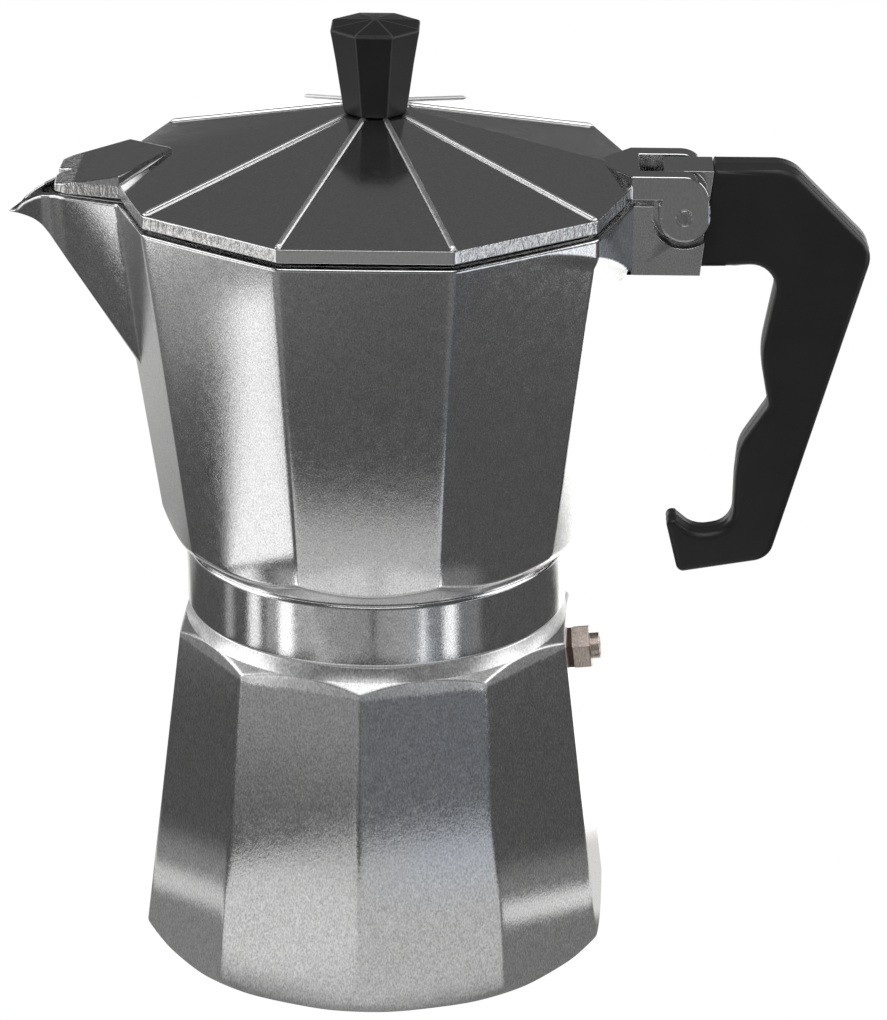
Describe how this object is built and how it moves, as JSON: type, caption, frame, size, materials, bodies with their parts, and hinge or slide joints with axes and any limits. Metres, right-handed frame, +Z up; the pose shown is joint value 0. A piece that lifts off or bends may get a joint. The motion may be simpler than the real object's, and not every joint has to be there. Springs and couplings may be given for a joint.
{
  "type": "moka pot",
  "caption": "Ten-sided aluminium stove-top coffee maker: boiler, funnel and pouring chamber that screw together, hinged lid, black handle and knob.",
  "frame": {"origin": "middle of the boiler's flat base", "axes": "+Z up along the pot's axis, +X towards the handle, -X towards the spout"},
  "size_m": [0.1711, 0.103, 0.194],
  "materials": {
    "cast_aluminium": "tumbled satin",
    "lid_aluminium": "satin",
    "sheet_aluminium": "satin",
    "nickel_brass": "nickel plated",
    "brass": "turned",
    "steel": "bright",
    "fibre": "matt",
    "silicone": "matt",
    "black_plastic": "satin black"
  },
  "bodies": {
    "base": {"boiler": "cast_aluminium", "valve_seal": "fibre", "valve_body": "nickel_brass", "valve_spring": "steel", "valve_retainer": "steel"},
    "valve": {"valve_plunger": "brass"},
    "funnel_unit": {"funnel": "sheet_aluminium", "funnel_sieve": "sheet_aluminium"},
    "seal_unit": {"gasket": "silicone", "filter_plate": "sheet_aluminium"},
    "top": {"upper_chamber": "cast_aluminium", "coffee_column": "cast_aluminium", "hinge_pin": "steel", "handle": "black_plastic", "handle_screw": "steel"},
    "lid_unit": {"lid": "lid_aluminium", "knob": "black_plastic", "knob_insert": "brass", "knob_washer": "sheet_aluminium", "knob_screw": "steel"}
  },
  "joints": [
    {"name": "valve_lift", "type": "slide", "parent": "base", "child": "valve", "axis": [0.9919, -0.045, 0.1189], "range_m": [0, 0.001], "stiffness_N_per_m": 900, "springref_m": -0.004},
    {"name": "funnel_lift", "type": "slide", "parent": "base", "child": "funnel_unit", "axis": [0, 0, 1], "range_m": [0, 0.08]},
    {"name": "top_rise", "type": "slide", "parent": "funnel_unit", "child": "seal_unit", "axis": [0, 0, 1], "range_m": [0, 0.01]},
    {"name": "top_turn", "type": "hinge", "parent": "seal_unit", "child": "top", "pos_m": [0, 0, 0.08], "axis": [0, 0, 1], "range_deg": [0, 900]},
    {"name": "lid_hinge", "type": "hinge", "parent": "top", "child": "lid_unit", "pos_m": [0.0611, 0, 0.1571], "axis": [0, 1, 0], "range_deg": [0, 90]}
  ],
  "couplings": [
    {"joint": "top_rise", "follows": "top_turn", "m_per_rad": 0.000636}
  ]
}
